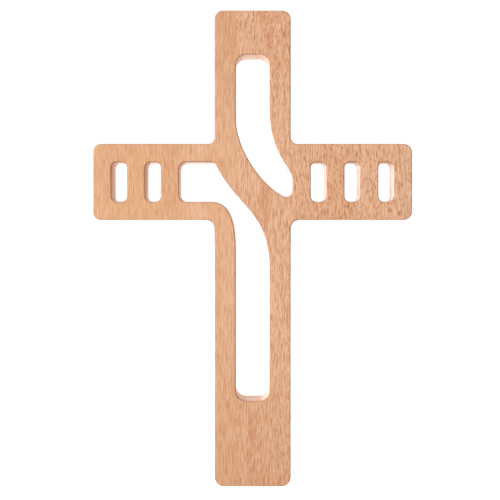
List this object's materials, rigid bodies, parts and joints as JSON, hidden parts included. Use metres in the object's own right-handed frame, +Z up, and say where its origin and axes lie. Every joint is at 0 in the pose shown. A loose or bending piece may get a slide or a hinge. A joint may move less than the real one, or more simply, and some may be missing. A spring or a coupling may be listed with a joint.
{
  "type": "wall cross",
  "caption": "Flat beech wall cross with long slots in the post, a sweeping band across the crossing, windowed arms, rounded edges and a keyhole slot in the back.",
  "frame": {"origin": "on the flat back face, at the centre of the crossing of post and arms", "axes": "+X to the right seen from the front, +Y into the wall, +Z up"},
  "size_m": [0.201, 0.015, 0.3],
  "materials": {
    "beech": "sanded, satin clear finish"
  },
  "bodies": {
    "root": {"cross": "beech"}
  },
  "joints": []
}
